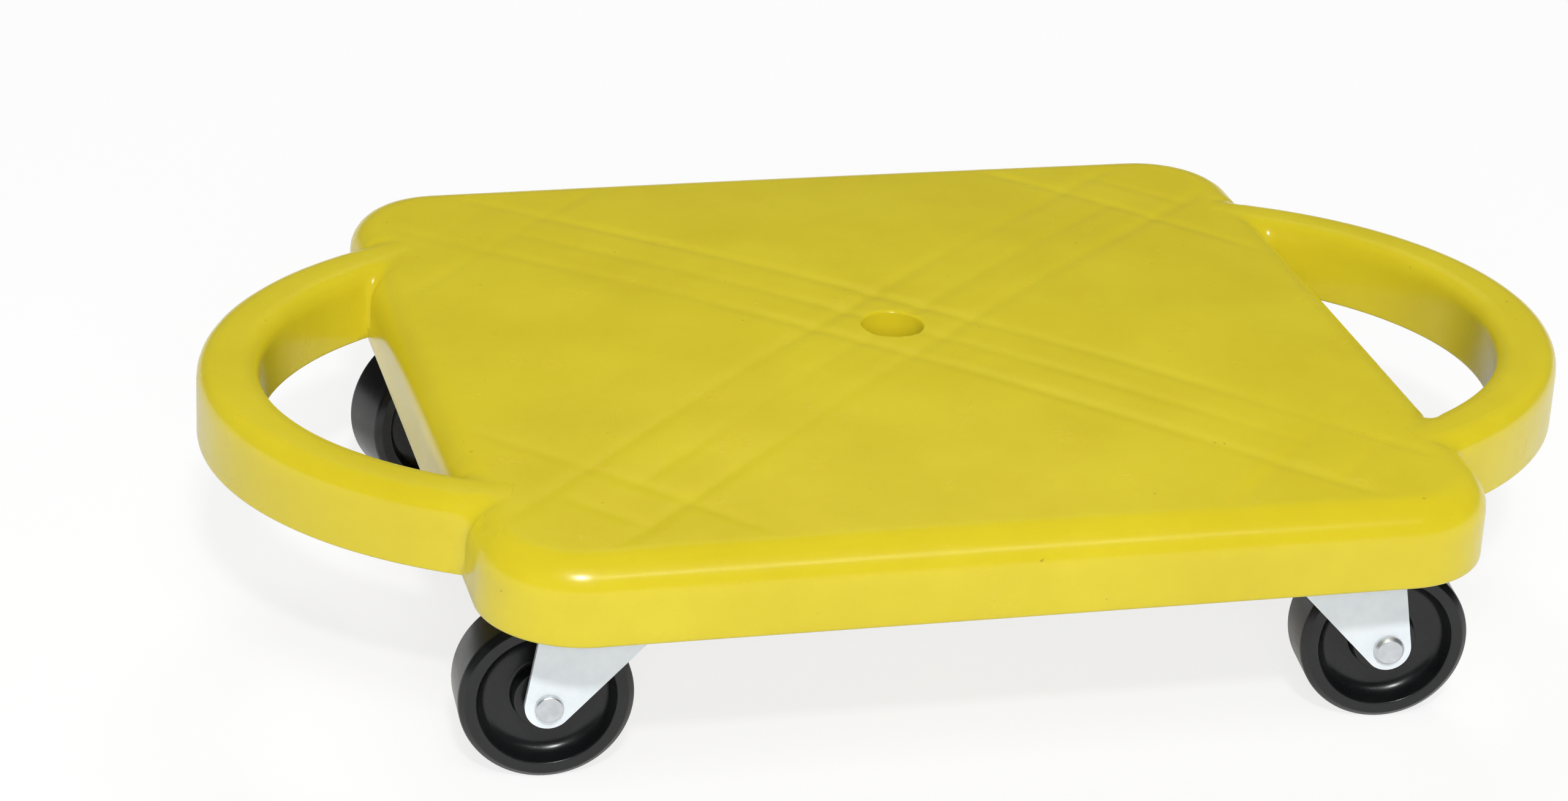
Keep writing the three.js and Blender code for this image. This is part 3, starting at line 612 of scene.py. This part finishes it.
pale_blue = ramp(tree, noise(tree, 130, 5, 0.6),
                 (0.3, linear(227, 235, 240)), (0.7, linear(238, 244, 248)))
tree.links.new(pale_blue, shader.inputs["Base Color"])
milky = ramp(tree, noise(tree, 260, 4, 0.6), (0.3, grey(0.42)), (0.75, grey(0.58)))
tree.links.new(milky, shader.inputs["Roughness"])
shader.inputs["Metallic"].default_value = 0.12
bumped(tree, shader, (noise(tree, 700, 4, 0.6), 0.08, 0.0001))
at_corners(fork, "fork", zinc, "fork_body", True)

# Axle rivet, spacer bushing and king pin: turned plated steel, each spun from its profile. The
# rivet has a wide bevelled head against one leg and a smaller, closed end against the other.
rivet = turned("axle_rivet", [
    (0, -0.0159, 0), (0.0037, -0.0159, 0.0004), (0.0046, -0.0149, 0.0004), (0.0046, -0.0142, 0),
    (0.0029, -0.0142, 0), (0.0029, 0.0142, 0), (0.0041, 0.0142, 0), (0.0041, 0.0156, 0.0003),
    (0.0037, 0.0159, 0.0002), (0, 0.0159, 0)], steps=48, along_y=True)
rivet.data.transform(Matrix.Translation((TRAIL, 0, WHEEL)))
smoothed(rivet, 30)
steel, shader = principled("turned_plated_steel")
tree = steel.node_tree
bright = ramp(tree, noise(tree, 400, 4),
              (0.3, linear(206, 210, 214)), (0.7, linear(221, 224, 228)))
tree.links.new(bright, shader.inputs["Base Color"])
brushed = ramp(tree, noise(tree, 500, 4), (0.3, grey(0.34)), (0.7, grey(0.46)))
tree.links.new(brushed, shader.inputs["Roughness"])
shader.inputs["Metallic"].default_value = 0.9
bumped(tree, shader, (noise(tree, 1400, 3), 0.08, 0.0001))
at_corners(rivet, "axle_rivet", steel, "fork_body", True)

bushing = turned("axle_bushing", [
    (0.0032, -0.0115, 0), (0.0046, -0.0115, 0.0003), (0.0046, 0.0115, 0.0003),
    (0.0032, 0.0115, 0)], steps=32, along_y=True)
bushing.data.transform(Matrix.Translation((TRAIL, 0, WHEEL)))
smoothed(bushing, 40)
at_corners(bushing, "axle_bushing", steel, "fork_body", True)

king_pin = turned("king_pin", [
    (0, 0.0505, 0), (0.0048, 0.0505, 0), (0.0059, 0.0516, 0.0006), (0.0059, 0.0527, 0),
    (0.0035, 0.0527, 0), (0.0035, 0.0635, 0), (0.0059, 0.0635, 0), (0.0059, 0.0647, 0.0004),
    (0, 0.0647, 0)], steps=40)
smoothed(king_pin, 40)
at_corners(king_pin, "king_pin", steel, "board", False)

# Top plate: a rounded zinc-plated plate under the screw bosses, dimpled for the pin's head, with
# the upper half of the ball race pressed into its underside.
PLATE_HIGH = 0.065
PLATE_ALONG, PLATE_ACROSS, PLATE_ROUND = 0.017, 0.024, 0.005
PLATE_HOLE, DIMPLE, DIMPLE_LOW = 0.0025, 0.0062, 0.0632
RACE_TOP, RACE_FOOT = 0.0636, 0.0610
outline = rounded([(side_x * PLATE_ALONG, side_y * PLATE_ACROSS, PLATE_ROUND)
                   for side_x, side_y in corners], segments=6)
plate = extruded("top_plate", outline, "Z", PLATE_LOW, PLATE_HIGH)
screw_spots = [(x * SCREW_ALONG / 2, y * SCREW_ACROSS / 2) for x, y in corners]
for spot in screw_spots:
    joined(plate, upright(PLATE_HOLE, 0.06, CUT_TOP, *spot, sides=24), "DIFFERENCE")
joined(plate, upright(DIMPLE, DIMPLE_LOW, CUT_TOP, 0, 0, sides=40), "DIFFERENCE")
broken_edges(plate, 0.00025)
upper_profile = [(PIN_HOLE, RACE_TOP, 0), (PIN_HOLE, RACE_FOOT, 0),
                 (RACE_INSIDE, RACE_FOOT, 0.0006)]
upper_profile += [(across, BALL_LEVEL + away, radius) for across, away, radius in reversed(RACE)]
upper_profile.append((RACE_OUTSIDE, RACE_TOP, 0))
upper_race = turned("upper_race", upper_profile, steps=48)
joined(plate, upper_race, "UNION")
joined(plate, upright(PIN_HOLE, 0.055, CUT_TOP, 0, 0, sides=32), "DIFFERENCE")
smoothed(plate, 40)
at_corners(plate, "top_plate", zinc, "board", False)

# Ball race: eight steel balls held in one thin cage ring between the two halves of the race.
# The ring is a small profile spun about the swivel, and the balls are joined to it.
BALLS, BALL, BALL_REACH = 8, 0.0022, 0.0105
CAGE_INSIDE, CAGE_OUTSIDE, CAGE_HALF = 0.0096, 0.0114, 0.00035
ball_cage = turned("ball_cage", [
    (CAGE_INSIDE, BALL_LEVEL - CAGE_HALF, 0), (CAGE_OUTSIDE, BALL_LEVEL - CAGE_HALF, 0),
    (CAGE_OUTSIDE, BALL_LEVEL + CAGE_HALF, 0), (CAGE_INSIDE, BALL_LEVEL + CAGE_HALF, 0)], steps=40)
balls = []
for number in range(BALLS):
    deselect_all()
    bpy.ops.mesh.primitive_ico_sphere_add(subdivisions=3, radius=BALL)
    ball = bpy.context.object
    turn = 2 * math.pi * (number + 0.5) / BALLS
    ball.data.transform(Matrix.Translation(
        (BALL_REACH * math.cos(turn), BALL_REACH * math.sin(turn), BALL_LEVEL)))
    balls.append(ball)
for ball in balls:
    joined(ball_cage, ball, "UNION")
smoothed(ball_cage, 40)
at_corners(ball_cage, "ball_cage", steel, "board", False)

# Screws: pan heads with a cross recess under the plate, their shanks up in the bosses, four to
# a caster. The recess is cut with two crossed thin boxes.
HEAD_LOW, RECESS_LONG, RECESS_THIN, RECESS_TALL = 0.0602, 0.0036, 0.0007, 0.0028
screw = turned("screw", [
    (0, HEAD_LOW, 0), (0.0026, HEAD_LOW, 0.0012), (0.0039, 0.0614, 0.0010), (0.0039, 0.0627, 0),
    (0.0022, 0.0627, 0), (0.0022, 0.0720, 0), (0, 0.0745, 0)], steps=28)
for size in ((RECESS_LONG, RECESS_THIN, RECESS_TALL), (RECESS_THIN, RECESS_LONG, RECESS_TALL)):
    deselect_all()
    bpy.ops.mesh.primitive_cube_add(size=1)
    recess = bpy.context.object
    recess.data.transform(Matrix.Diagonal((*size, 1)))
    recess.data.transform(Matrix.Translation((0, 0, HEAD_LOW)))
    joined(screw, recess, "DIFFERENCE")
smoothed(screw, 30)
at_corners(screw, "screw", steel, "board", False, screw_spots)

# Floor and light: a pale level floor, nearly white to the camera and less so in reflections, a
# small key panel, which makes the bright spot on the front corner, and large soft panels in
# front, above and behind that gloss doesn't show. A long strip acts on the front edge's gloss.
FLOOR_SIZE, FLOOR_ALBEDO, FLOOR_SEEN_ALBEDO = 12, 0.75, 0.97
WHITE_TO_CAMERA, WHITE_TO_GLOSS = 0.80, 0.45
PANEL_TARGET = (0, 0, 0.06)
deselect_all()
bpy.ops.mesh.primitive_grid_add(x_subdivisions=4, y_subdivisions=4, size=FLOOR_SIZE)
floor = bpy.context.object
floor.name = "studio_floor"
pale, shader = principled("pale_floor")
tree = pale.node_tree
rays = tree.nodes.new("ShaderNodeLightPath")


def calculated(tree, operation, first, second):
    node = tree.nodes.new("ShaderNodeMath")
    node.operation = operation
    for socket, value in zip(node.inputs, (first, second)):
        if isinstance(value, float):
            socket.default_value = value
        else:
            tree.links.new(value, socket)
    return node.outputs[0]


through = calculated(tree, "MAXIMUM", rays.outputs["Is Glossy Ray"],
                     rays.outputs["Is Transmission Ray"])
seen = calculated(tree, "MAXIMUM", rays.outputs["Is Camera Ray"], through)
tree.links.new(ramp(tree, seen, (0.0, grey(FLOOR_ALBEDO)), (1.0, grey(FLOOR_SEEN_ALBEDO))),
               shader.inputs["Base Color"])
shader.inputs["Roughness"].default_value = 0.9
white = tree.nodes.new("ShaderNodeEmission")
part = tree.nodes.new("ShaderNodeMixShader")
share = calculated(
    tree, "ADD", calculated(tree, "MULTIPLY", rays.outputs["Is Camera Ray"], WHITE_TO_CAMERA),
    calculated(tree, "MULTIPLY", through, WHITE_TO_GLOSS))
tree.links.new(share, part.inputs["Fac"])
tree.links.new(shader.outputs["BSDF"], part.inputs[1])
tree.links.new(white.outputs["Emission"], part.inputs[2])
tree.links.new(part.outputs["Shader"], tree.nodes["Material Output"].inputs["Surface"])
floor.data.materials.append(pale)

world = bpy.data.worlds.new("studio_world")
bpy.context.scene.world = world
world.use_nodes = True
tree = world.node_tree
place = tree.nodes.new("ShaderNodeTexCoord")
parts = tree.nodes.new("ShaderNodeSeparateXYZ")
tree.links.new(place.outputs["Generated"], parts.inputs[0])
sky = ramp(tree, parts.outputs["Y"], (0.0, grey(0.03)), (1.0, grey(0.10)))
tree.links.new(sky, tree.nodes["Background"].inputs["Color"])


def soft_panel(name, bearing, rise, distance, width, height, power, matt=True, gloss=True):
    bearing, rise = math.radians(bearing), math.radians(rise)
    way = Vector((math.cos(rise) * math.cos(bearing), math.cos(rise) * math.sin(bearing),
                  math.sin(rise)))
    data = bpy.data.lights.new(name, "AREA")
    data.shape, data.size, data.size_y, data.energy = "RECTANGLE", width, height, power
    panel = bpy.data.objects.new(name, data)
    bpy.context.scene.collection.objects.link(panel)
    panel.visible_diffuse, panel.visible_glossy = matt, gloss
    panel.location = Vector(PANEL_TARGET) + way * distance
    panel.rotation_mode = "QUATERNION"
    panel.rotation_quaternion = (-way).to_track_quat("-Z", "Y")


soft_panel("key_panel", bearing=-102, rise=43, distance=3.3, width=0.28, height=0.20, power=54)
soft_panel("high_panel", bearing=-102, rise=58, distance=3.6, width=1.6, height=1.2, power=40,
           gloss=False)
soft_panel("front_panel", bearing=-102, rise=22, distance=3.3, width=1.4, height=0.9, power=45,
           gloss=False)
soft_panel("back_panel", bearing=78, rise=40, distance=3.3, width=1.4, height=0.9, power=44,
           gloss=False)
soft_panel("edge_strip", bearing=-73, rise=41, distance=3.3, width=0.90, height=0.14, power=4.5,
           matt=False)

# Camera at the picture's place: about 24.5 degrees up and 15 degrees to the left of the front,
# rolled a little, with the focal length worked out from the picture together with the place.
CAMERA_PLACE = Vector((-0.35622, -1.17872, 0.62073))
YAW, PITCH, ROLL = 0.2675254, 0.4271881, -0.0541188
SENSOR, FOCAL_PIXELS, PICTURE_PIXELS = 36, 7131.41, 2560
camera_data = bpy.data.cameras.new("camera")
camera = bpy.data.objects.new("camera", camera_data)
bpy.context.scene.collection.objects.link(camera)
bpy.context.scene.camera = camera
forward = Vector((math.sin(YAW) * math.cos(PITCH), math.cos(YAW) * math.cos(PITCH),
                  -math.sin(PITCH)))
level = Vector((math.cos(YAW), -math.sin(YAW), 0))
down = forward.cross(level)
right = math.cos(ROLL) * level + math.sin(ROLL) * down
down = math.cos(ROLL) * down - math.sin(ROLL) * level
camera.matrix_world = Matrix.Translation(CAMERA_PLACE) @ Matrix(
    (right, -down, -forward)).transposed().to_4x4()
camera_data.sensor_width = SENSOR
camera_data.lens = SENSOR * FOCAL_PIXELS / PICTURE_PIXELS
camera_data.clip_start, camera_data.clip_end = 0.05, 50

bpy.context.scene.view_settings.view_transform = "Standard"
